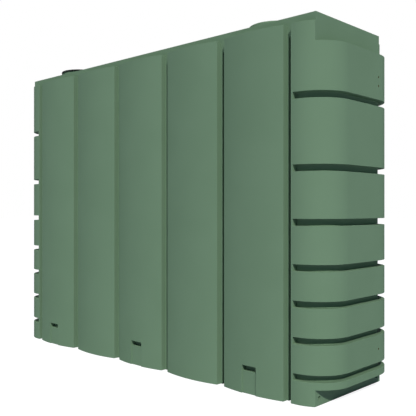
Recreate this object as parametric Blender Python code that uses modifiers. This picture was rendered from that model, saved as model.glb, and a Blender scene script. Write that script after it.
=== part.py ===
"""Slimline rainwater tank: a one-piece rotationally moulded polyethylene shell with its inlet strainer.

The tank stands on z = 0 with its length along X and its front facing -Y. The inlet is at the -X end.
Metres throughout.
"""

import math

import bmesh
import bpy
from mathutils import Matrix, Vector

# Shell: the plain box that the flutes and the rounded ends stand out from
TANK_HEIGHT = 2.170
BOX_LENGTH = 2.838
BOX_DEPTH = 0.708
WALL = 0.006

# Fluted front and back; the valleys beside the ends are narrower than those between the panels
PANEL_COUNT = 5
END_FRONT = 0.1385
VALLEY_WIDTH = 0.0575
END_VALLEY_WIDTH = 0.048
VALLEY_FLOOR = 0.0095
PANEL_EDGE = 0.046
PANEL_CROWN = 0.0735
FASCIA_HEIGHT = 0.043
SLOT_LEDGE = 0.010
SLOT_DEPTH = 0.060
SLOT_BELOW_ROOF = 0.098
SLOT_TIP = 0.006

# Rounded ends
END_BULGE = 0.1015
END_EDGE = 0.042
END_RADIUS = 0.218
END_TOP_REBATE = 0.162
TOE_HEIGHT = 0.0915
GROOVE_DEPTH = 0.040
GROOVE_OPENING = 0.0385
GROOVE_START = 0.012
FIRST_GROOVE = 0.152
GROOVE_PITCHES = (0.202, 0.202, 0.202, 0.252, 0.302, 0.403)

# Upright edges of the panels and ends
EDGE_RADIUS = 0.004

# Outlet pads at the foot of the front panels, spread from the first panel to the last
PAD_COUNT = 3
PAD_WIDTH = 0.105
PAD_HEIGHT = 0.166
PAD_RECESS = 0.0045
POCKET_HEIGHT = 0.033
POCKET_DEPTH = 0.040

# Necks on the roof
INLET_FROM_END = 0.179
INLET_RADIUS = 0.163
INLET_HEIGHT = 0.095
INLET_OPENING = 0.145
BLANK_FROM_END = 0.5435
BLANK_RADIUS = 0.175
BLANK_HEIGHT = 0.0835
NECK_FLARE = 0.010
NECK_FLARE_SINK = 0.002
NECK_EDGE_RADIUS = 0.008

# Strainer that hangs in the inlet
SEAT_GAP = 0.0003
FLANGE_RADIUS = 0.1695
FLANGE_THICKNESS = 0.0035
SKIRT_DEPTH = 0.0125
SKIRT_THICKNESS = 0.003
BASKET_CLEARANCE = 0.0015
BASKET_DEPTH = 0.135
BASKET_TAPER = 0.0135
BASKET_WALL = 0.0025
LEDGE_WIDTH = 0.012
LEDGE_THICKNESS = 0.004
GRID_BAR = 0.004
GRID_BAR_COUNT = 4
GRID_RING_RADIUS = 0.062
GRID_SET_BACK = 0.0002
FLANGE_CHAMFER = 0.0015
MESH_THICKNESS = 0.001
CLAMP_WIDTH = 0.009
CLAMP_THICKNESS = 0.004

# Threaded inserts in the ends, and the tie-down holes in the toe
INSERT_FROM_MIDDLE = 0.160
INSERT_BELOW_ROOF = 0.301
INSERT_SPACING = 0.052
INSERT_LOW_HEIGHT = 0.251
INSERT_RADIUS = 0.006
INSERT_LENGTH = 0.020
INSERT_BORE = 0.0034
INSERT_BORE_DEPTH = 0.014
INSERT_SET_BACK = 0.002
TIE_HOLE_RADIUS = 0.0085
TIE_HOLE_DEPTH = 0.020
TIE_HOLE_INSET = 0.035
TIE_HOLE_HEIGHT = 0.047

# Fineness of the round stretches; a panel's is for half of its crown
PANEL_SEGMENTS = 5
EDGE_SEGMENTS = 2
END_SEGMENTS = 8
NECK_SEGMENTS = 40
SMALL_SEGMENTS = 12

# Cutters run this far past the surface that they cut
PAST = 0.030

# No inner edge is rounded tighter than this
LEAST_EDGE = 0.001

# Worked out from the sizes above
HALF_LENGTH = BOX_LENGTH / 2
HALF_DEPTH = BOX_DEPTH / 2
PANEL_RUN = BOX_LENGTH - 2 * (END_FRONT + END_VALLEY_WIDTH)
PANEL_PITCH = (PANEL_RUN + VALLEY_WIDTH) / PANEL_COUNT
PANEL_WIDTH = PANEL_PITCH - VALLEY_WIDTH
PANEL_RISE = PANEL_CROWN - PANEL_EDGE
PANEL_RADIUS = PANEL_WIDTH**2 / (8 * PANEL_RISE) + PANEL_RISE / 2
FLOOR_Y = HALF_DEPTH + VALLEY_FLOOR
CROWN_Y = HALF_DEPTH + PANEL_CROWN
END_START = HALF_LENGTH - END_FRONT
END_X = HALF_LENGTH + END_BULGE
END_CENTRE_X = END_X - END_RADIUS
END_CENTRE_Y = HALF_DEPTH + END_EDGE - END_RADIUS
INLET_X = -(HALF_LENGTH - INLET_FROM_END)
BLANK_X = HALF_LENGTH - BLANK_FROM_END
INLET_TOP = TANK_HEIGHT + INLET_HEIGHT
BASKET_RADIUS = INLET_OPENING - BASKET_CLEARANCE
BASKET_FOOT_RADIUS = BASKET_RADIUS - BASKET_TAPER
BASKET_INSIDE = BASKET_FOOT_RADIUS - BASKET_WALL
BASKET_FOOT = INLET_TOP - BASKET_DEPTH
MESH_SEAT = BASKET_FOOT + LEDGE_THICKNESS + SEAT_GAP


def start_scene():
    """Empties the scene and returns the collections for the parts and for the cutters."""
    for item in list(bpy.data.objects):
        bpy.data.objects.remove(item, do_unlink=True)
    made = []
    for name in ("slimline_water_tank", "cutters"):
        collection = bpy.data.collections.new(name)
        bpy.context.scene.collection.children.link(collection)
        made.append(collection)
    return made


PARTS, CUTTERS = start_scene()


def material(name, colour, roughness, metallic=0.0):
    """A plain Principled material."""
    made = bpy.data.materials.new(name)
    made.use_nodes = True
    shader = made.node_tree.nodes["Principled BSDF"]
    shader.inputs["Base Color"].default_value = (*colour, 1.0)
    shader.inputs["Roughness"].default_value = roughness
    shader.inputs["Metallic"].default_value = metallic
    return made


def add_object(name, data, collection):
    """Links data as an object; one among the cutters is only shown as a wire frame."""
    made = bpy.data.objects.new(name, data)
    collection.objects.link(made)
    if collection is CUTTERS:
        made.hide_render = True
        made.display_type = "WIRE"
    return made


def weld(mesh):
    """Joins the points that meet, makes each flat stretch one face and turns every face outwards."""
    shape = bmesh.new()
    shape.from_mesh(mesh)
    bmesh.ops.remove_doubles(shape, verts=shape.verts, dist=0.00001)
    bmesh.ops.dissolve_degenerate(shape, edges=shape.edges, dist=0.00001)
    bmesh.ops.dissolve_limit(shape, angle_limit=math.radians(0.1), verts=shape.verts, edges=shape.edges)
    loose = [edge for edge in shape.edges if not edge.link_faces]
    bmesh.ops.delete(shape, geom=loose, context="EDGES")
    bmesh.ops.recalc_face_normals(shape, faces=shape.faces)
    shape.to_mesh(mesh)
    shape.free()


def settle(item):
    """Turns an object's curve and modifiers into one plain mesh and returns the new object."""
    bpy.context.view_layer.update()
    view = bpy.context.evaluated_depsgraph_get()
    mesh = bpy.data.meshes.new_from_object(item.evaluated_get(view))
    weld(mesh)
    name = item.name
    place = item.matrix_world.copy()
    collection = item.users_collection[0]
    bpy.data.objects.remove(item, do_unlink=True)
    made = add_object(name, mesh, collection)
    made.matrix_world = place
    return made


def prism(name, outline, low, high, place=Matrix.Identity(4)):
    """A flat outline drawn up from z = low to z = high, then put in its place."""
    curve = bpy.data.curves.new(name, "CURVE")
    curve.dimensions = "2D"
    curve.fill_mode = "BOTH"
    curve.extrude = (high - low) / 2
    spline = curve.splines.new("POLY")
    spline.points.add(len(outline) - 1)
    for point, (x, y) in zip(spline.points, outline):
        point.co = (x, y, 0.0, 1.0)
    spline.use_cyclic_u = True
    made = add_object(name, curve, CUTTERS)
    made.matrix_world = place @ Matrix.Translation((0.0, 0.0, (high + low) / 2))
    return settle(made)


def block(name, low, high):
    """A box between two opposite corners."""
    shape = bmesh.new()
    middle = (Vector(low) + Vector(high)) / 2
    size = Vector(high) - Vector(low)
    bmesh.ops.create_cube(shape, size=1.0, matrix=Matrix.Translation(middle) @ Matrix.Diagonal((*size, 1.0)))
    mesh = bpy.data.meshes.new(name)
    shape.to_mesh(mesh)
    shape.free()
    return add_object(name, mesh, CUTTERS)


def rod(name, radius, start, end, segments):
    """A round bar between two points."""
    start = Vector(start)
    end = Vector(end)
    turn = (end - start).to_track_quat("Z", "Y").to_matrix().to_4x4()
    shape = bmesh.new()
    bmesh.ops.create_cone(
        shape,
        cap_ends=True,
        segments=segments,
        radius1=radius,
        radius2=radius,
        depth=(end - start).length,
        matrix=Matrix.Translation((start + end) / 2) @ turn,
    )
    mesh = bpy.data.meshes.new(name)
    shape.to_mesh(mesh)
    shape.free()
    return add_object(name, mesh, CUTTERS)


def turned(name, profile, x, closed=False):
    """A profile of (radius, height) points turned about the vertical line at x."""
    mesh = bpy.data.meshes.new(name)
    points = [(radius, 0.0, height) for radius, height in profile]
    count = len(points)
    edges = [(k, k + 1) for k in range(count - 1)]
    if closed:
        edges.append((count - 1, 0))
    mesh.from_pydata(points, edges, [])
    made = add_object(name, mesh, CUTTERS)
    screw = made.modifiers.new("turn", "SCREW")
    screw.steps = NECK_SEGMENTS
    screw.render_steps = NECK_SEGMENTS
    screw.use_merge_vertices = True
    screw.merge_threshold = 0.00001
    made.location.x = x
    return settle(made)


def combine(target, operation, tools):
    """Cuts the tools from the target, or joins them to it, one after the other."""
    for tool in tools:
        change = target.modifiers.new(tool.name, "BOOLEAN")
        change.operation = operation
        change.solver = "EXACT"
        change.object = tool
    return settle(target)


def finish_part(item, name, finish, smooth_angle=35.0):
    """Names a piece, gives it its material and moves it among the parts."""
    CUTTERS.objects.unlink(item)
    PARTS.objects.link(item)
    item.name = name
    item.data.name = name
    item.hide_render = False
    item.display_type = "TEXTURED"
    item.data.materials.clear()
    item.data.materials.append(finish)
    item.data.shade_smooth()
    item.data.set_sharp_from_angle(angle=math.radians(smooth_angle))
    return item


def arc(centre, radius, first, last, segments):
    """Points on a circle, with the angle measured from -Y towards +X, in degrees."""
    points = []
    for k in range(segments + 1):
        angle = math.radians(first + (last - first) * k / segments)
        points.append((centre[0] + radius * math.sin(angle), centre[1] - radius * math.cos(angle)))
    return points


def panel_line(middle, skin):
    """The front of one crowned panel, from foot to foot, skin inside its outer face."""
    half = PANEL_WIDTH / 2 - skin
    radius = PANEL_RADIUS - skin
    centre_y = PANEL_RADIUS - CROWN_Y
    edge = max(EDGE_RADIUS - skin, LEAST_EDGE)
    lean = math.degrees(math.asin((half - edge) / (radius - edge)))
    edge_y = centre_y - (radius - edge) * math.cos(math.radians(lean))
    left = [(-half, -(FLOOR_Y - skin))]
    left += arc((edge - half, edge_y), edge, -90.0, -lean, EDGE_SEGMENTS)
    left += arc((0.0, centre_y), radius, -lean, 0.0, PANEL_SEGMENTS)[1:]
    right = [(-x, y) for x, y in reversed(left[:-1])]
    return [(middle + x, y) for x, y in left + right]


def panel_middles():
    """Where the panels stand along the tank."""
    first = -PANEL_PITCH * (PANEL_COUNT - 1) / 2
    return [first + k * PANEL_PITCH for k in range(PANEL_COUNT)]


def valleys():
    """The middle and the width of every valley, the two narrower ones beside the ends included."""
    reach = PANEL_PITCH * PANEL_COUNT / 2
    found = [(-reach + k * PANEL_PITCH, VALLEY_WIDTH) for k in range(1, PANEL_COUNT)]
    outer = END_START - END_VALLEY_WIDTH / 2
    return [(-outer, END_VALLEY_WIDTH)] + found + [(outer, END_VALLEY_WIDTH)]


def end_line(skin):
    """One rounded end, from its front edge round to its back edge."""
    start = END_START + skin
    face = -(HALF_DEPTH + END_EDGE - skin)
    edge = max(EDGE_RADIUS - skin, LEAST_EDGE)
    front = arc((start + edge, face + edge), edge, -90.0, 0.0, EDGE_SEGMENTS)
    front += arc((END_CENTRE_X, -END_CENTRE_Y), END_RADIUS - skin, 0.0, 90.0, END_SEGMENTS)
    return front + [(x, -y) for x, y in reversed(front)]


def plan_outline(skin):
    """The tank seen from above: fluted front, rounded end, fluted back, rounded end."""
    floor = -(FLOOR_Y - skin)
    start = END_START + skin
    half = [(-start, floor)]
    for middle in panel_middles():
        half += panel_line(middle, skin)
    half.append((start, floor))
    half += end_line(skin)
    return half + [(-x, -y) for x, y in half]


def groove_outline(skin):
    """The C-shaped plan of the groove that runs round the +X end.

    In the void it starts at the end's own edge, because the void begins only a wall behind that.
    """
    start = END_START if skin > 0 else END_START + GROOVE_START
    loop = []
    for out in (PAST, -GROOVE_DEPTH - skin):
        front = [(start, -(HALF_DEPTH + END_EDGE + out))]
        front += arc((END_CENTRE_X, -END_CENTRE_Y), END_RADIUS + out, 0.0, 90.0, END_SEGMENTS)
        loop.append(front + [(x, -y) for x, y in reversed(front)])
    outside, inside = loop
    return outside + inside[::-1]


def groove_heights():
    """Middle heights of the grooves: the bands between them grow taller towards the top."""
    heights = [FIRST_GROOVE]
    for pitch in GROOVE_PITCHES:
        heights.append(heights[-1] + pitch)
    return heights


def groove_cutters(skin):
    """The grooves of both ends."""
    half = GROOVE_OPENING / 2 + skin
    tools = []
    for height in groove_heights():
        for side in (1, -1):
            outline = [(side * x, side * y) for x, y in groove_outline(skin)]
            tools.append(prism("groove", outline, height - half, height + half))
    return tools


def slot_cutters(skin):
    """The deep slots along the middle of every valley, front and back, pointed at the top."""
    tip = SLOT_TIP / 2
    top = TANK_HEIGHT - SLOT_BELOW_ROOF + skin
    bottom = FLOOR_Y - SLOT_DEPTH - skin
    upright = Matrix.Rotation(math.radians(90.0), 4, "X")
    tools = []
    for middle, width in valleys():
        half = width / 2 - SLOT_LEDGE + skin
        shoulder = top - half + tip
        right = [(half, -PAST), (half, shoulder), (tip, top)]
        outline = right + [(-x, z) for x, z in reversed(right)]
        along = Matrix.Translation((middle, 0, 0))
        for turn in (0.0, 180.0):
            place = along @ Matrix.Rotation(math.radians(turn), 4, "Z") @ upright
            tools.append(prism("slot", outline, bottom, FLOOR_Y + PAST, place))
    return tools


def rebate_cutters(skin):
    """The plain fascia under the roof, and the rebates at the top and foot of the ends."""
    reach_x = END_X + PAST
    reach_y = CROWN_Y + PAST
    above = TANK_HEIGHT + PAST
    fascia = TANK_HEIGHT - FASCIA_HEIGHT - skin
    rebate = TANK_HEIGHT - END_TOP_REBATE - skin
    tools = []
    for side in (1, -1):
        near = sorted((side * (HALF_DEPTH - skin), side * reach_y))
        out = sorted((side * (HALF_LENGTH - skin), side * reach_x))
        tools.append(block("fascia", (-reach_x, near[0], fascia), (reach_x, near[1], above)))
        tools.append(block("end_rebate", (out[0], -reach_y, rebate), (out[1], reach_y, above)))
        tools.append(block("toe", (out[0], -reach_y, -PAST), (out[1], reach_y, TOE_HEIGHT + skin)))
    return tools


def pad_middles():
    """Where the outlet pads stand along the front."""
    step = (PANEL_COUNT - 1) // (PAD_COUNT - 1)
    return panel_middles()[::step]


def pad_cutters(skin):
    """The flat outlet pads at the foot of the front panels, and the pocket over each."""
    half = PAD_WIDTH / 2 + skin
    out = -(CROWN_Y + PAST)
    top = PAD_HEIGHT + skin
    face = -(CROWN_Y - PAD_RECESS - skin)
    back = -(CROWN_Y - POCKET_DEPTH - skin)
    low = PAD_HEIGHT - POCKET_HEIGHT - skin
    tools = []
    for middle in pad_middles():
        tools.append(block("pad", (middle - half, out, -PAST), (middle + half, face, top)))
        tools.append(block("pocket", (middle - half, out, low), (middle + half, back, top)))
    return tools


def insert_places():
    """The threaded inserts: a name, the middle of the mouth on the rounded end, and which end."""
    high = TANK_HEIGHT - INSERT_BELOW_ROOF
    heights = {"upper": high, "middle": high - INSERT_SPACING, "lower": INSERT_LOW_HEIGHT}
    aside = INSERT_FROM_MIDDLE - END_CENTRE_Y
    surface = END_CENTRE_X + math.sqrt(END_RADIUS**2 - max(aside, 0.0) ** 2)
    places = []
    for end, side in (("right", 1), ("left", -1)):
        for level, height in heights.items():
            mouth = Vector((side * surface, INSERT_FROM_MIDDLE, height))
            places.append((f"insert_{end}_{level}", mouth, side))
    return places


def hole_cutters(skin):
    """The seats of the threaded inserts and the blind tie-down holes, with the bosses behind them."""
    holes = []
    for _, mouth, side in insert_places():
        depth = INSERT_SET_BACK + INSERT_LENGTH + SEAT_GAP
        holes.append((mouth, side, INSERT_RADIUS + SEAT_GAP, depth))
    for side in (1, -1):
        for face in (1, -1):
            mouth = Vector((side * HALF_LENGTH, face * (HALF_DEPTH - TIE_HOLE_INSET), TIE_HOLE_HEIGHT))
            holes.append((mouth, side, TIE_HOLE_RADIUS, TIE_HOLE_DEPTH))
    tools = []
    for mouth, side, radius, depth in holes:
        along = Vector((side, 0, 0))
        inside = mouth - along * (depth + skin)
        tools.append(rod("blind_hole", radius + skin, inside, mouth + along * PAST, SMALL_SEGMENTS))
    return tools


def neck(name, x, radius, height, skin):
    """A round neck on the roof, flared into it, with its top still closed."""
    top = TANK_HEIGHT + height - skin
    foot = TANK_HEIGHT - WALL - PAST
    inner = radius - skin
    edge = max(NECK_EDGE_RADIUS - skin, LEAST_EDGE)
    centre = (inner - edge, edge - top)
    profile = [(0.0, top)]
    profile += [(out, -down) for out, down in arc(centre, edge, 0.0, 90.0, EDGE_SEGMENTS)]
    if skin > 0:
        profile.append((inner, foot))
    else:
        flare_foot = TANK_HEIGHT - NECK_FLARE_SINK
        profile += [(inner, flare_foot + NECK_FLARE), (inner + NECK_FLARE, flare_foot)]
        profile.append((inner + NECK_FLARE, foot))
    profile.append((0.0, foot))
    return turned(name, profile, x)


def moulding(name, skin):
    """The solid bounded by the surface that lies skin inside the tank's outer surface."""
    body = prism(name, plan_outline(skin), skin, TANK_HEIGHT - skin)
    cutters = rebate_cutters(skin) + groove_cutters(skin) + slot_cutters(skin)
    cutters += pad_cutters(skin) + hole_cutters(skin)
    body = combine(body, "DIFFERENCE", cutters)
    necks = [neck("inlet_neck", INLET_X, INLET_RADIUS, INLET_HEIGHT, skin)]
    necks.append(neck("blank_neck", BLANK_X, BLANK_RADIUS, BLANK_HEIGHT, skin))
    return combine(body, "UNION", necks)


def tank_shell(finish):
    """The hollow moulding, open only where the inlet neck has been cut out."""
    shell = moulding("shell", 0.0)
    void = moulding("void", WALL)
    low = (INLET_X, 0, INLET_TOP - WALL - PAST)
    high = (INLET_X, 0, INLET_TOP + PAST)
    opening = rod("inlet_opening", INLET_OPENING, low, high, NECK_SEGMENTS)
    shell = combine(shell, "DIFFERENCE", [void, opening])
    return finish_part(shell, "tank_shell", finish)


def strainer_grid(ledge):
    """The bars that cross the basket's foot, let into its ledge, and the ring that ties them."""
    low = BASKET_FOOT + GRID_SET_BACK
    high = BASKET_FOOT + LEDGE_THICKNESS - GRID_SET_BACK
    half = GRID_BAR / 2
    reach = ledge + LEDGE_WIDTH / 2
    grid = []
    for k in range(GRID_BAR_COUNT):
        bar = block("grid_bar", (-reach, -half, low), (reach, half, high))
        bar.data.transform(Matrix.Rotation(math.pi * k / GRID_BAR_COUNT, 4, "Z"))
        bar.location.x = INLET_X
        grid.append(bar)
    inner = GRID_RING_RADIUS - half
    outer = GRID_RING_RADIUS + half
    low += GRID_SET_BACK
    high -= GRID_SET_BACK
    profile = [(inner, high), (outer, high), (outer, low), (inner, low)]
    grid.append(turned("grid_ring", profile, INLET_X, closed=True))
    return grid


def strainer_basket(finish):
    """The tapered basket with its capping flange, and the grid that carries the mesh."""
    seat = INLET_TOP + SEAT_GAP
    top = seat + FLANGE_THICKNESS
    skirt = top - SKIRT_DEPTH
    ledge = BASKET_INSIDE - LEDGE_WIDTH
    profile = [
        (ledge, BASKET_FOOT + LEDGE_THICKNESS),
        (BASKET_INSIDE, BASKET_FOOT + LEDGE_THICKNESS),
        (BASKET_RADIUS - BASKET_WALL, top),
        (FLANGE_RADIUS - FLANGE_CHAMFER, top),
        (FLANGE_RADIUS, top - FLANGE_CHAMFER),
        (FLANGE_RADIUS, skirt),
        (FLANGE_RADIUS - SKIRT_THICKNESS, skirt),
        (FLANGE_RADIUS - SKIRT_THICKNESS, seat),
        (BASKET_RADIUS, seat),
        (BASKET_FOOT_RADIUS, BASKET_FOOT),
        (ledge, BASKET_FOOT),
    ]
    basket = turned("basket", profile, INLET_X, closed=True)
    basket = combine(basket, "UNION", strainer_grid(ledge))
    return finish_part(basket, "strainer_basket", finish)


def strainer_mesh(finish):
    """The woven mesh disc on the basket's ledge."""
    low = (INLET_X, 0, MESH_SEAT)
    high = (INLET_X, 0, MESH_SEAT + MESH_THICKNESS)
    disc = rod("mesh", BASKET_INSIDE - SEAT_GAP, low, high, NECK_SEGMENTS)
    return finish_part(disc, "strainer_mesh", finish)


def mesh_clamp_ring(finish):
    """The ring that holds the mesh down round its edge."""
    low = MESH_SEAT + MESH_THICKNESS + SEAT_GAP
    high = low + CLAMP_THICKNESS
    outer = BASKET_INSIDE - SEAT_GAP
    inner = outer - CLAMP_WIDTH
    profile = [(inner, high), (outer, high), (outer, low), (inner, low)]
    ring = turned("clamp", profile, INLET_X, closed=True)
    return finish_part(ring, "mesh_clamp_ring", finish)


def end_inserts(finish):
    """The brass threaded inserts, blind bored from their mouths."""
    for name, mouth, side in insert_places():
        along = Vector((side, 0, 0))
        front = mouth - along * INSERT_SET_BACK
        bore_end = front - along * INSERT_BORE_DEPTH
        body = rod("insert", INSERT_RADIUS, front - along * INSERT_LENGTH, front, SMALL_SEGMENTS)
        bore = rod("insert_bore", INSERT_BORE, bore_end, front + along * PAST, SMALL_SEGMENTS)
        finish_part(combine(body, "DIFFERENCE", [bore]), name, finish)


def build():
    """Makes every piece of the tank."""
    green = material("green_polyethylene", (0.161, 0.249, 0.153), 0.55)
    black = material("black_polypropylene", (0.012, 0.013, 0.013), 0.5)
    steel = material("stainless_mesh", (0.55, 0.55, 0.54), 0.35, 1.0)
    brass = material("brass", (0.60, 0.45, 0.20), 0.35, 1.0)
    tank_shell(green)
    strainer_basket(black)
    strainer_mesh(steel)
    mesh_clamp_ring(black)
    end_inserts(brass)


build()
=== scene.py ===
"""Slimline rainwater tank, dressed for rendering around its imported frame.

The tank stands on z = 0 with its length along X and its front facing -Y. The inlet is at the -X end.
Metres throughout.
"""

import math

import bmesh
import bpy
from mathutils import Matrix, Vector


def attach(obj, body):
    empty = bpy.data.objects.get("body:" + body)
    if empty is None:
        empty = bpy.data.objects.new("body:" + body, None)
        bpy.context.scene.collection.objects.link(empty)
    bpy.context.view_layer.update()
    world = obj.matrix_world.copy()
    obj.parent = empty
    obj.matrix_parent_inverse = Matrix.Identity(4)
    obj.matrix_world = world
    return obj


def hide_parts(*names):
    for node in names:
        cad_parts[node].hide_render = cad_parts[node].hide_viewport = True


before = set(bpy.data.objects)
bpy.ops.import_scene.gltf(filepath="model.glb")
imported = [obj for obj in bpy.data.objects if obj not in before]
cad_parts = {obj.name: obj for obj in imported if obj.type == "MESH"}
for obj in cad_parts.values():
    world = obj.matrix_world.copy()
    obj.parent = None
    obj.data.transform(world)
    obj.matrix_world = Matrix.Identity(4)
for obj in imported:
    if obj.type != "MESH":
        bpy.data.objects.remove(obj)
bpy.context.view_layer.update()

MM = 0.001

# The plain box that the flutes and the rounded ends stand out from
TANK_HEIGHT = 2.170
BOX_LENGTH = 2.838
BOX_DEPTH = 0.708
WALL = 0.006

# Fluted front and back. A panel stands out from the box by its edge at the sides and by its crown in the
# middle. The valleys beside the ends are narrower than those between the panels
PANEL_COUNT = 5
END_FRONT = 0.1385
VALLEY_WIDTH = 0.0575
END_VALLEY_WIDTH = 0.048
VALLEY_FLOOR = 0.0095
PANEL_EDGE = 0.046
PANEL_CROWN = 0.0735
FASCIA_HEIGHT = 0.050
SLOT_LEDGE = 0.0135
SLOT_DEPTH = 0.060
SLOT_BELOW_ROOF = 0.111
SLOT_TIP = 0.008

# Rounded ends
END_BULGE = 0.1015
END_EDGE = 0.042
END_RADIUS = 0.218
END_TOP_REBATE = 0.162
TOE_HEIGHT = 0.0915
GROOVE_DEPTH = 0.040
GROOVE_OPENING = 0.0385
GROOVE_START = 0.012
FIRST_GROOVE = 0.152
GROOVE_PITCHES = (0.202, 0.202, 0.202, 0.252, 0.302, 0.403)

# Outlet pads at the foot of the front panels, spread from the first panel to the last and set aside from
# each panel's middle towards -X, with a pocket over each
PAD_COUNT = 3
PAD_WIDTH = 0.105
PAD_HEIGHT = 0.166
PAD_RECESS = 0.009
PAD_ASIDE = 0.008
POCKET_HEIGHT = 0.033
POCKET_DEPTH = 0.040

# Necks on the roof
INLET_FROM_END = 0.179
INLET_RADIUS = 0.163
INLET_HEIGHT = 0.095
INLET_OPENING = 0.145
BLANK_FROM_END = 0.5435
BLANK_RADIUS = 0.175
BLANK_HEIGHT = 0.0835
NECK_FLARE = 0.010
NECK_FLARE_SINK = 0.002
NECK_EDGE_RADIUS = 0.008

# Seats of the threaded inserts, with a gap round each insert, and the tie-down holes
SEAT_GAP = 0.0003
INSERT_FROM_MIDDLE = 0.160
INSERT_BELOW_ROOF = 0.301
INSERT_SPACING = 0.052
INSERT_LOW_HEIGHT = 0.251
INSERT_RADIUS = 0.006
INSERT_LENGTH = 0.020
INSERT_SET_BACK = 0.002
TIE_HOLE_RADIUS = 0.013
TIE_HOLE_DEPTH = 0.020
TIE_HOLE_INSET = 0.034
TIE_HOLE_HEIGHT = 0.0405

# Moulded edges are eased to this radius where they turn by more than this many degrees
EASED_EDGE = 0.0012
EASED_STEPS = 2
EASED_FROM = 35.0

# Fineness of the round stretches; the flare's arc ends before it lies flat on the roof
PANEL_SEGMENTS = 28
END_SEGMENTS = 26
NECK_SEGMENTS = 96
HOLE_SEGMENTS = 24
NECK_EDGE_STEPS = 4
NECK_FLARE_STEPS = 4
NECK_FLARE_SWEEP = 80.0

# Points nearer than this are joined, and faces that turn by fewer degrees than this are made one
WELD_GAP = 0.01 * MM
FLAT_WITHIN = 0.1

# How far large faces outweigh small ones in the smooth shading: 50 is not at all, 100 is the most
LARGE_FACE_WEIGHT = 90

# Cutters run this far past the surface that they cut
PAST = 0.030

# Worked out from the sizes above
HALF_LENGTH = BOX_LENGTH / 2
HALF_DEPTH = BOX_DEPTH / 2
PANEL_RUN = BOX_LENGTH - 2 * (END_FRONT + END_VALLEY_WIDTH)
PANEL_PITCH = (PANEL_RUN + VALLEY_WIDTH) / PANEL_COUNT
PANEL_WIDTH = PANEL_PITCH - VALLEY_WIDTH
PANEL_RISE = PANEL_CROWN - PANEL_EDGE
PANEL_RADIUS = PANEL_WIDTH**2 / (8 * PANEL_RISE) + PANEL_RISE / 2
FLOOR_Y = HALF_DEPTH + VALLEY_FLOOR
CROWN_Y = HALF_DEPTH + PANEL_CROWN
END_START = HALF_LENGTH - END_FRONT
END_X = HALF_LENGTH + END_BULGE
END_CENTRE_X = END_X - END_RADIUS
END_CENTRE_Y = HALF_DEPTH + END_EDGE - END_RADIUS
INLET_X = -(HALF_LENGTH - INLET_FROM_END)
BLANK_X = HALF_LENGTH - BLANK_FROM_END
INLET_TOP = TANK_HEIGHT + INLET_HEIGHT

# Camera, solved from the photograph's vanishing points; its azimuth is from -Y towards +X, in degrees
CAMERA_PLACE = (3.3677, -3.2922, 1.085)
CAMERA_AZIMUTH = 43.2
CAMERA_FOCAL_MM = 54.94
CAMERA_SHIFT_UP = 0.0020
CAMERA_REACH = 200.0
SENSOR_MM = 36.0

# Lamps: azimuth from -Y towards +X and elevation in degrees, strength, and width as seen in degrees
KEY_LAMP = (52.0, 41.0, 2.6, 2.0)
FILL_LAMP = (0.0, 60.0, 0.82, 75.0)

# Dim blue light that comes from all round
STUDIO_COLOUR = "#3f8cff"
STUDIO_STRENGTH = 0.12

# Floor: its colour for the light that it throws back, then its colour and its glow as seen
FLOOR_REACH = 60.0
FLOOR_COLOUR = "#c0c4d2"
FLOOR_SHOWN_COLOUR = "#8a8a8a"
FLOOR_GLOW = 0.86


def linear(code):
    """An sRGB hex colour as linear red, green, blue and alpha."""
    values = []
    for k in (1, 3, 5):
        value = int(code[k:k + 2], 16) / 255
        values.append(value / 12.92 if value <= 0.04045 else ((value + 0.055) / 1.055) ** 2.4)
    return (*values, 1.0)


def add_node(tree, kind, settings=None, inputs=None, links=None):
    """Adds a node, sets its properties and inputs, and links outputs of other nodes to its inputs."""
    node = tree.nodes.new(kind)
    for name, value in (settings or {}).items():
        setattr(node, name, value)
    for name, value in (inputs or {}).items():
        node.inputs[name].default_value = value
    for name, source in (links or {}).items():
        tree.links.new(source, node.inputs[name])
    return node


def new_material(name):
    """An empty material with its output node."""
    made = bpy.data.materials.new(name)
    made.use_nodes = True
    tree = made.node_tree
    tree.nodes.clear()
    return made, tree, tree.nodes.new("ShaderNodeOutputMaterial")


def rotomoulded_polyethylene():
    """Green polyethylene, rotationally moulded: an even colour, almost no gloss and a faint mould grain.

    The powder melts against a grit-blasted mould, which leaves a fine grain, and the wall cools unevenly,
    which leaves long shallow waves. The grain is drawn at 2.5 mm, or it would not show.
    """
    made, tree, output = new_material("rotomoulded_polyethylene")
    grain_mm = 2.5
    wave_mm = 260.0
    place = add_node(tree, "ShaderNodeTexCoord")
    grain = add_node(
        tree, "ShaderNodeTexNoise",
        inputs={"Scale": 1 / (grain_mm * MM), "Detail": 3.0, "Roughness": 0.55},
        links={"Vector": place.outputs["Object"]},
    )
    wave = add_node(
        tree, "ShaderNodeTexNoise",
        inputs={"Scale": 1 / (wave_mm * MM), "Detail": 1.0, "Roughness": 0.4},
        links={"Vector": place.outputs["Object"]},
    )
    tint = add_node(tree, "ShaderNodeValToRGB", links={"Fac": wave.outputs["Fac"]})
    tint.color_ramp.elements[0].position = 0.35
    tint.color_ramp.elements[0].color = linear("#6e896b")
    tint.color_ramp.elements[1].position = 0.65
    tint.color_ramp.elements[1].color = linear("#708b6d")
    broad = add_node(
        tree, "ShaderNodeBump",
        inputs={"Strength": 0.25, "Distance": 0.4 * MM},
        links={"Height": wave.outputs["Fac"]},
    )
    fine = add_node(
        tree, "ShaderNodeBump",
        inputs={"Strength": 0.2, "Distance": 0.12 * MM},
        links={"Height": grain.outputs["Fac"], "Normal": broad.outputs["Normal"]},
    )
    surface = add_node(
        tree, "ShaderNodeBsdfPrincipled",
        inputs={"Roughness": 0.75, "IOR": 1.5, "Specular IOR Level": 0.05},
        links={"Base Color": tint.outputs["Color"], "Normal": fine.outputs["Normal"]},
    )
    tree.links.new(surface.outputs["BSDF"], output.inputs["Surface"])
    return made


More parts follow.
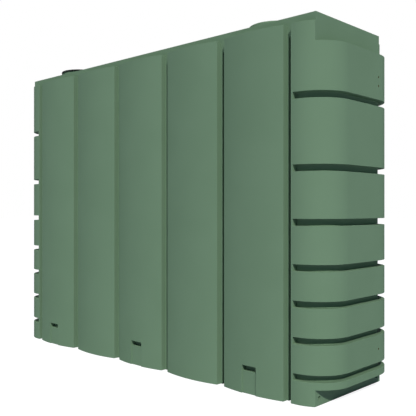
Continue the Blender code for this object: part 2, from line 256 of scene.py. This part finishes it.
def moulded_polypropylene():
    """Black polypropylene, injection moulded: a fine spark-eroded grain and a soft sheen.

    The grain is drawn at 1.2 mm, or it would not show.
    """
    made, tree, output = new_material("moulded_polypropylene")
    grain_mm = 1.2
    place = add_node(tree, "ShaderNodeTexCoord")
    grain = add_node(
        tree, "ShaderNodeTexNoise",
        inputs={"Scale": 1 / (grain_mm * MM), "Detail": 2.0},
        links={"Vector": place.outputs["Object"]},
    )
    bump = add_node(
        tree, "ShaderNodeBump",
        inputs={"Strength": 0.3, "Distance": 0.08 * MM},
        links={"Height": grain.outputs["Fac"]},
    )
    surface = add_node(
        tree, "ShaderNodeBsdfPrincipled",
        inputs={"Base Color": linear("#0d1011"), "Roughness": 0.6, "IOR": 1.49, "Specular IOR Level": 0.12},
        links={"Normal": bump.outputs["Normal"]},
    )
    tree.links.new(surface.outputs["BSDF"], output.inputs["Surface"])
    return made


def woven_stainless():
    """Stainless insect mesh, plain woven: bright wires, with the openings between them painted dark as
    painted shade of the unlit inside seen through the mesh.

    Real mesh of this kind has a 1.2 mm pitch. It is drawn at 3 mm, or it would not show.
    """
    made, tree, output = new_material("woven_stainless")
    pitch_mm = 3.0
    turn = math.pi / (pitch_mm * MM)
    place = add_node(tree, "ShaderNodeTexCoord")
    split = add_node(tree, "ShaderNodeSeparateXYZ", links={"Vector": place.outputs["Object"]})
    wires = []
    for axis in ("X", "Y"):
        angle = add_node(
            tree, "ShaderNodeMath", {"operation": "MULTIPLY"}, {1: turn}, {0: split.outputs[axis]}
        )
        wave = add_node(tree, "ShaderNodeMath", {"operation": "SINE"}, links={0: angle.outputs[0]})
        wire = add_node(tree, "ShaderNodeMath", {"operation": "ABSOLUTE"}, links={0: wave.outputs[0]})
        wires.append(wire.outputs[0])
    weave = add_node(tree, "ShaderNodeMath", {"operation": "MAXIMUM"}, links={0: wires[0], 1: wires[1]})
    colour = add_node(tree, "ShaderNodeValToRGB", links={"Fac": weave.outputs[0]})
    # The openings between the wires get a dark colour: painted shade of the unlit inside seen through the
    # mesh
    colour.color_ramp.elements[0].position = 0.72
    colour.color_ramp.elements[0].color = linear("#26282a")
    colour.color_ramp.elements[1].position = 0.86
    colour.color_ramp.elements[1].color = linear("#b9b8b3")
    bump = add_node(
        tree, "ShaderNodeBump",
        inputs={"Strength": 0.6, "Distance": 0.4 * MM},
        links={"Height": weave.outputs[0]},
    )
    surface = add_node(
        tree, "ShaderNodeBsdfPrincipled",
        inputs={"Metallic": 0.9, "Roughness": 0.38},
        links={"Base Color": colour.outputs["Color"], "Normal": bump.outputs["Normal"]},
    )
    tree.links.new(surface.outputs["BSDF"], output.inputs["Surface"])
    return made


def turned_brass():
    """Brass, turned on a lathe and dulled in the mould: dark yellow metal with fine tool marks."""
    made, tree, output = new_material("turned_brass")
    mark_mm = 0.5
    place = add_node(tree, "ShaderNodeTexCoord")
    marks = add_node(
        tree, "ShaderNodeTexNoise",
        inputs={"Scale": 1 / (mark_mm * MM), "Detail": 2.0},
        links={"Vector": place.outputs["Object"]},
    )
    bump = add_node(
        tree, "ShaderNodeBump",
        inputs={"Strength": 0.3, "Distance": 0.05 * MM},
        links={"Height": marks.outputs["Fac"]},
    )
    surface = add_node(
        tree, "ShaderNodeBsdfPrincipled",
        inputs={"Base Color": linear("#6e6038"), "Metallic": 1.0, "Roughness": 0.45},
        links={"Normal": bump.outputs["Normal"]},
    )
    tree.links.new(surface.outputs["BSDF"], output.inputs["Surface"])
    return made


def add_object(name, mesh):
    """Links a mesh as an object."""
    made = bpy.data.objects.new(name, mesh)
    bpy.context.scene.collection.objects.link(made)
    return made


def mesh_of(name, shape):
    """Turns a bmesh into an object with its faces pointing out."""
    bmesh.ops.recalc_face_normals(shape, faces=shape.faces)
    mesh = bpy.data.meshes.new(name)
    shape.to_mesh(mesh)
    shape.free()
    return add_object(name, mesh)


def settle(item):
    """Applies an object's modifiers, joins points that meet and makes each flat stretch one face."""
    bpy.context.view_layer.update()
    view = bpy.context.evaluated_depsgraph_get()
    mesh = bpy.data.meshes.new_from_object(item.evaluated_get(view))
    shape = bmesh.new()
    shape.from_mesh(mesh)
    bmesh.ops.remove_doubles(shape, verts=shape.verts, dist=WELD_GAP)
    bmesh.ops.dissolve_degenerate(shape, edges=shape.edges, dist=WELD_GAP)
    bmesh.ops.dissolve_limit(
        shape, angle_limit=math.radians(FLAT_WITHIN), verts=shape.verts, edges=shape.edges
    )
    shape.to_mesh(mesh)
    shape.free()
    name = item.name
    bpy.data.objects.remove(item, do_unlink=True)
    return add_object(name, mesh)


def prism(name, outline, low, high, place=Matrix.Identity(4)):
    """A flat outline drawn up from z = low to z = high, then put in its place."""
    shape = bmesh.new()
    face = shape.faces.new([shape.verts.new((x, y, low)) for x, y in outline])
    grown = bmesh.ops.extrude_face_region(shape, geom=[face])
    raised = [part for part in grown["geom"] if isinstance(part, bmesh.types.BMVert)]
    bmesh.ops.translate(shape, vec=(0, 0, high - low), verts=raised)
    bmesh.ops.transform(shape, matrix=place, verts=shape.verts)
    return mesh_of(name, shape)


def block(name, low, high):
    """A box between two opposite corners."""
    middle = (Vector(low) + Vector(high)) / 2
    size = Vector(high) - Vector(low)
    shape = bmesh.new()
    bmesh.ops.create_cube(shape, size=1.0, matrix=Matrix.Translation(middle) @ Matrix.Diagonal((*size, 1.0)))
    return mesh_of(name, shape)


def rod(name, radius, start, end, segments):
    """A round bar between two points."""
    start = Vector(start)
    end = Vector(end)
    turn = (end - start).to_track_quat("Z", "Y").to_matrix().to_4x4()
    place = Matrix.Translation((start + end) / 2) @ turn
    shape = bmesh.new()
    bmesh.ops.create_cone(
        shape, cap_ends=True, segments=segments, radius1=radius, radius2=radius,
        depth=(end - start).length, matrix=place,
    )
    return mesh_of(name, shape)


def turned(name, profile, x):
    """A profile of (radius, height) points turned about the vertical line at x."""
    shape = bmesh.new()
    points = [shape.verts.new((radius, 0.0, height)) for radius, height in profile]
    edges = [shape.edges.new(pair) for pair in zip(points, points[1:])]
    bmesh.ops.spin(
        shape, geom=points + edges, cent=(0, 0, 0), axis=(0, 0, 1), angle=2 * math.pi,
        steps=NECK_SEGMENTS, use_merge=True,
    )
    bmesh.ops.remove_doubles(shape, verts=shape.verts, dist=WELD_GAP)
    bmesh.ops.translate(shape, vec=(x, 0, 0), verts=shape.verts)
    return mesh_of(name, shape)


def combine(target, operation, tools):
    """Cuts the tools from the target, or joins them to it, and removes them."""
    for tool in tools:
        change = target.modifiers.new(tool.name, "BOOLEAN")
        change.operation = operation
        change.solver = "EXACT"
        change.object = tool
    made = settle(target)
    for tool in tools:
        bpy.data.objects.remove(tool, do_unlink=True)
    return made


def ease_edges(item):
    """Rounds the moulded edges."""
    bevel = item.modifiers.new("eased_edges", "BEVEL")
    bevel.width = EASED_EDGE
    bevel.segments = EASED_STEPS
    bevel.limit_method = "ANGLE"
    bevel.angle_limit = math.radians(EASED_FROM)
    bevel.miter_outer = "MITER_ARC"
    return settle(item)


def smooth(item):
    """Smooth shading led by the large faces, which keeps flat faces flat in the light."""
    item.data.shade_smooth()
    weighted = item.modifiers.new("even_light", "WEIGHTED_NORMAL")
    weighted.weight = LARGE_FACE_WEIGHT
    weighted.keep_sharp = True
    return item


def arc(centre, radius, first, last, segments):
    """Points on a circle, with the angle measured from -Y towards +X, in degrees."""
    points = []
    for k in range(segments + 1):
        angle = math.radians(first + (last - first) * k / segments)
        points.append((centre[0] + radius * math.sin(angle), centre[1] - radius * math.cos(angle)))
    return points


def panel_line(middle, skin):
    """The front of one crowned panel, from foot to foot, skin inside its outer face."""
    half = PANEL_WIDTH / 2 - skin
    floor = -(FLOOR_Y - skin)
    centre = (middle, PANEL_RADIUS - CROWN_Y)
    radius = PANEL_RADIUS - skin
    lean = math.degrees(math.asin(half / radius))
    crown = arc(centre, radius, -lean, lean, PANEL_SEGMENTS)
    return [(middle - half, floor)] + crown + [(middle + half, floor)]


def panel_middles():
    """Where the panels stand along the tank."""
    first = -PANEL_PITCH * (PANEL_COUNT - 1) / 2
    return [first + k * PANEL_PITCH for k in range(PANEL_COUNT)]


def valleys():
    """The middle and the width of every valley, the two narrower ones beside the ends included."""
    reach = PANEL_PITCH * PANEL_COUNT / 2
    found = [(-reach + k * PANEL_PITCH, VALLEY_WIDTH) for k in range(1, PANEL_COUNT)]
    outer = END_START - END_VALLEY_WIDTH / 2
    return [(-outer, END_VALLEY_WIDTH)] + found + [(outer, END_VALLEY_WIDTH)]


def end_line(skin):
    """One rounded end, from its front edge round to its back edge."""
    front = [(END_START + skin, -(HALF_DEPTH + END_EDGE - skin))]
    front += arc((END_CENTRE_X, -END_CENTRE_Y), END_RADIUS - skin, 0.0, 90.0, END_SEGMENTS)
    return front + [(x, -y) for x, y in reversed(front)]


def plan_outline(skin):
    """The tank seen from above: fluted front, rounded end, fluted back, rounded end."""
    floor = -(FLOOR_Y - skin)
    start = END_START + skin
    half = [(-start, floor)]
    for middle in panel_middles():
        half += panel_line(middle, skin)
    half.append((start, floor))
    half += end_line(skin)
    return half + [(-x, -y) for x, y in half]


def groove_outline(skin):
    """The C-shaped plan of the groove that runs round the +X end.

    In the void it starts at the end's own edge, because the void begins only a wall behind that.
    """
    start = END_START if skin > 0 else END_START + GROOVE_START
    loop = []
    for out in (PAST, -GROOVE_DEPTH - skin):
        front = [(start, -(HALF_DEPTH + END_EDGE + out))]
        front += arc((END_CENTRE_X, -END_CENTRE_Y), END_RADIUS + out, 0.0, 90.0, END_SEGMENTS)
        loop.append(front + [(x, -y) for x, y in reversed(front)])
    outside, inside = loop
    return outside + inside[::-1]


def groove_heights():
    """Middle heights of the grooves: the bands between them grow taller towards the top."""
    heights = [FIRST_GROOVE]
    for pitch in GROOVE_PITCHES:
        heights.append(heights[-1] + pitch)
    return heights


def groove_cutters(skin):
    """The grooves of both ends."""
    half = GROOVE_OPENING / 2 + skin
    tools = []
    for height in groove_heights():
        for side in (1, -1):
            outline = [(side * x, side * y) for x, y in groove_outline(skin)]
            tools.append(prism("groove", outline, height - half, height + half))
    return tools


def slot_cutters(skin):
    """The deep slots along the middle of every valley, front and back, pointed at the top."""
    tip = SLOT_TIP / 2
    top = TANK_HEIGHT - SLOT_BELOW_ROOF + skin
    bottom = FLOOR_Y - SLOT_DEPTH - skin
    upright = Matrix.Rotation(math.radians(90.0), 4, "X")
    tools = []
    for middle, width in valleys():
        half = width / 2 - SLOT_LEDGE + skin
        shoulder = top - half + tip
        right = [(half, -PAST), (half, shoulder), (tip, top)]
        outline = right + [(-x, z) for x, z in reversed(right)]
        along = Matrix.Translation((middle, 0, 0))
        for turn in (0.0, 180.0):
            place = along @ Matrix.Rotation(math.radians(turn), 4, "Z") @ upright
            tools.append(prism("slot", outline, bottom, FLOOR_Y + PAST, place))
    return tools


def rebate_cutters(skin):
    """The plain fascia under the roof, and the rebates at the top and foot of the ends."""
    reach_x = END_X + PAST
    reach_y = CROWN_Y + PAST
    above = TANK_HEIGHT + PAST
    fascia = TANK_HEIGHT - FASCIA_HEIGHT - skin
    rebate = TANK_HEIGHT - END_TOP_REBATE - skin
    tools = []
    for side in (1, -1):
        near = sorted((side * (HALF_DEPTH - skin), side * reach_y))
        out = sorted((side * (HALF_LENGTH - skin), side * reach_x))
        tools.append(block("fascia", (-reach_x, near[0], fascia), (reach_x, near[1], above)))
        tools.append(block("end_rebate", (out[0], -reach_y, rebate), (out[1], reach_y, above)))
        tools.append(block("toe", (out[0], -reach_y, -PAST), (out[1], reach_y, TOE_HEIGHT + skin)))
    return tools


def pad_middles():
    """Where the outlet pads stand along the front, each a little off its panel's middle."""
    step = (PANEL_COUNT - 1) // (PAD_COUNT - 1)
    return [middle - PAD_ASIDE for middle in panel_middles()[::step]]


def pad_cutters(skin):
    """The flat outlet pads at the foot of the front panels, and the pocket over each."""
    half = PAD_WIDTH / 2 + skin
    out = -(CROWN_Y + PAST)
    top = PAD_HEIGHT + skin
    face = -(CROWN_Y - PAD_RECESS - skin)
    back = -(CROWN_Y - POCKET_DEPTH - skin)
    low = PAD_HEIGHT - POCKET_HEIGHT - skin
    tools = []
    for middle in pad_middles():
        tools.append(block("pad", (middle - half, out, -PAST), (middle + half, face, top)))
        tools.append(block("pocket", (middle - half, out, low), (middle + half, back, top)))
    return tools


def hole_cutters(skin):
    """The seats of the threaded inserts and the blind tie-down holes, with the bosses behind them."""
    high = TANK_HEIGHT - INSERT_BELOW_ROOF
    aside = max(INSERT_FROM_MIDDLE - END_CENTRE_Y, 0.0)
    surface = END_CENTRE_X + math.sqrt(END_RADIUS**2 - aside**2)
    insert_depth = INSERT_SET_BACK + INSERT_LENGTH + SEAT_GAP + skin
    tools = []
    for side in (1, -1):
        along = Vector((side, 0, 0))
        for height in (high, high - INSERT_SPACING, INSERT_LOW_HEIGHT):
            mouth = Vector((side * surface, INSERT_FROM_MIDDLE, height))
            radius = INSERT_RADIUS + SEAT_GAP + skin
            start = mouth - along * insert_depth
            tools.append(rod("insert_seat", radius, start, mouth + along * PAST, HOLE_SEGMENTS))
        for face in (1, -1):
            mouth = Vector((side * HALF_LENGTH, face * (HALF_DEPTH - TIE_HOLE_INSET), TIE_HOLE_HEIGHT))
            radius = TIE_HOLE_RADIUS + skin
            start = mouth - along * (TIE_HOLE_DEPTH + skin)
            tools.append(rod("tie_hole", radius, start, mouth + along * PAST, HOLE_SEGMENTS))
    return tools


def neck(name, x, radius, height, skin):
    """A round neck on the roof, with its top still closed; its outside is flared into the roof."""
    top = TANK_HEIGHT + height - skin
    foot = TANK_HEIGHT - WALL - PAST
    inner = radius - skin
    edge = NECK_EDGE_RADIUS - skin
    profile = [(0.0, top)]
    corner = arc((inner - edge, edge - top), edge, 0.0, 90.0, NECK_EDGE_STEPS)
    profile += [(out, -down) for out, down in corner]
    if skin == 0:
        centre = (inner + NECK_FLARE, TANK_HEIGHT - NECK_FLARE_SINK + NECK_FLARE)
        profile += arc(centre, NECK_FLARE, -90.0, NECK_FLARE_SWEEP - 90.0, NECK_FLARE_STEPS)
    profile += [(profile[-1][0], foot), (0.0, foot)]
    return turned(name, profile, x)


def moulding(name, skin):
    """The solid bounded by the surface that lies skin inside the tank's outer surface."""
    body = prism(name, plan_outline(skin), skin, TANK_HEIGHT - skin)
    cutters = rebate_cutters(skin) + groove_cutters(skin) + slot_cutters(skin)
    cutters += pad_cutters(skin) + hole_cutters(skin)
    body = combine(body, "DIFFERENCE", cutters)
    if skin == 0:
        body = ease_edges(body)
    necks = [
        neck("inlet_neck", INLET_X, INLET_RADIUS, INLET_HEIGHT, skin),
        neck("blank_neck", BLANK_X, BLANK_RADIUS, BLANK_HEIGHT, skin),
    ]
    return combine(body, "UNION", necks)


def tank_moulding(finish):
    """The tank itself, hollow, open only where the inlet neck has been cut out."""
    shell = moulding("tank_moulding", 0.0)
    void = moulding("void", WALL)
    low = (INLET_X, 0, INLET_TOP - WALL - PAST)
    opening = rod("inlet_opening", INLET_OPENING, low, (INLET_X, 0, INLET_TOP + PAST), NECK_SEGMENTS)
    shell = smooth(combine(shell, "DIFFERENCE", [void, opening]))
    shell.data.materials.append(finish)
    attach(shell, "root")
    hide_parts("tank_shell")
    return shell


def dress_cad_nodes(finishes):
    """Gives the CAD pieces whose shape is right their materials."""
    for name, finish in finishes.items():
        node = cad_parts[name]
        node.data.materials.clear()
        node.data.materials.append(finish)


def make_camera():
    """The photograph's view: level, at mid height, off the right front corner."""
    data = bpy.data.cameras.new("camera")
    data.lens = CAMERA_FOCAL_MM
    data.sensor_width = SENSOR_MM
    data.sensor_fit = "HORIZONTAL"
    data.shift_y = CAMERA_SHIFT_UP
    data.clip_end = CAMERA_REACH
    camera = bpy.data.objects.new("camera", data)
    camera.location = CAMERA_PLACE
    camera.rotation_euler = (math.radians(90.0), 0.0, math.radians(CAMERA_AZIMUTH))
    bpy.context.scene.collection.objects.link(camera)
    bpy.context.scene.camera = camera


def make_lamp(name, azimuth, elevation, strength, spread):
    """A lamp as distant as the sun, turned to shine from where it stands as seen from the tank."""
    data = bpy.data.lights.new(name, "SUN")
    data.energy = strength
    data.angle = math.radians(spread)
    lamp = bpy.data.objects.new(name, data)
    around = math.radians(azimuth)
    up = math.radians(elevation)
    towards = Vector((math.sin(around) * math.cos(up), -math.cos(around) * math.cos(up), math.sin(up)))
    lamp.rotation_euler = towards.to_track_quat("Z", "Y").to_euler()
    bpy.context.scene.collection.objects.link(lamp)


def seen_rays(tree):
    """One for the rays that the camera sees, straight on or in gloss and glass, and nought for the rest."""
    path = add_node(tree, "ShaderNodeLightPath")
    total = path.outputs["Is Camera Ray"]
    for name in ("Is Glossy Ray", "Is Transmission Ray"):
        both = add_node(
            tree, "ShaderNodeMath",
            settings={"operation": "ADD", "use_clamp": True},
            links={0: total, 1: path.outputs[name]},
        )
        total = both.outputs[0]
    return total


def make_world():
    """A dim blue studio all round; the camera, gloss and glass see it white."""
    world = bpy.data.worlds.new("studio")
    bpy.context.scene.world = world
    world.use_nodes = True
    tree = world.node_tree
    tree.nodes.clear()
    output = tree.nodes.new("ShaderNodeOutputWorld")
    dim = add_node(
        tree, "ShaderNodeBackground", inputs={"Color": linear(STUDIO_COLOUR), "Strength": STUDIO_STRENGTH}
    )
    white = add_node(tree, "ShaderNodeBackground", inputs={"Color": (1, 1, 1, 1), "Strength": 1.0})
    mix = add_node(
        tree, "ShaderNodeMixShader",
        links={"Fac": seen_rays(tree), 1: dim.outputs[0], 2: white.outputs[0]},
    )
    tree.links.new(mix.outputs[0], output.inputs["Surface"])


def make_floor():
    """A pale studio floor. It is seen by its own glow and the lamps' light, so it keeps a faint shadow."""
    shape = bmesh.new()
    bmesh.ops.create_grid(shape, x_segments=1, y_segments=1, size=FLOOR_REACH)
    floor = mesh_of("studio_floor", shape)
    made, tree, output = new_material("studio_floor")
    lit = add_node(tree, "ShaderNodeBsdfDiffuse", inputs={"Color": linear(FLOOR_COLOUR)})
    shown = add_node(tree, "ShaderNodeBsdfDiffuse", inputs={"Color": linear(FLOOR_SHOWN_COLOUR)})
    glow = add_node(tree, "ShaderNodeEmission", inputs={"Color": (1, 1, 1, 1), "Strength": FLOOR_GLOW})
    seen = add_node(tree, "ShaderNodeAddShader", links={0: shown.outputs[0], 1: glow.outputs[0]})
    mix = add_node(
        tree, "ShaderNodeMixShader",
        links={"Fac": seen_rays(tree), 1: lit.outputs[0], 2: seen.outputs[0]},
    )
    tree.links.new(mix.outputs[0], output.inputs["Surface"])
    floor.data.materials.append(made)


def main():
    """Dresses the tank and sets it in the studio."""
    green = rotomoulded_polyethylene()
    black = moulded_polypropylene()
    brass = turned_brass()
    tank_moulding(green)
    finishes = {"strainer_basket": black, "mesh_clamp_ring": black, "strainer_mesh": woven_stainless()}
    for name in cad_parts:
        if name.startswith("insert_"):
            finishes[name] = brass
    dress_cad_nodes(finishes)
    make_camera()
    make_lamp("key_lamp", *KEY_LAMP)
    make_lamp("fill_lamp", *FILL_LAMP)
    make_world()
    make_floor()
    bpy.context.scene.view_settings.view_transform = "Standard"


main()
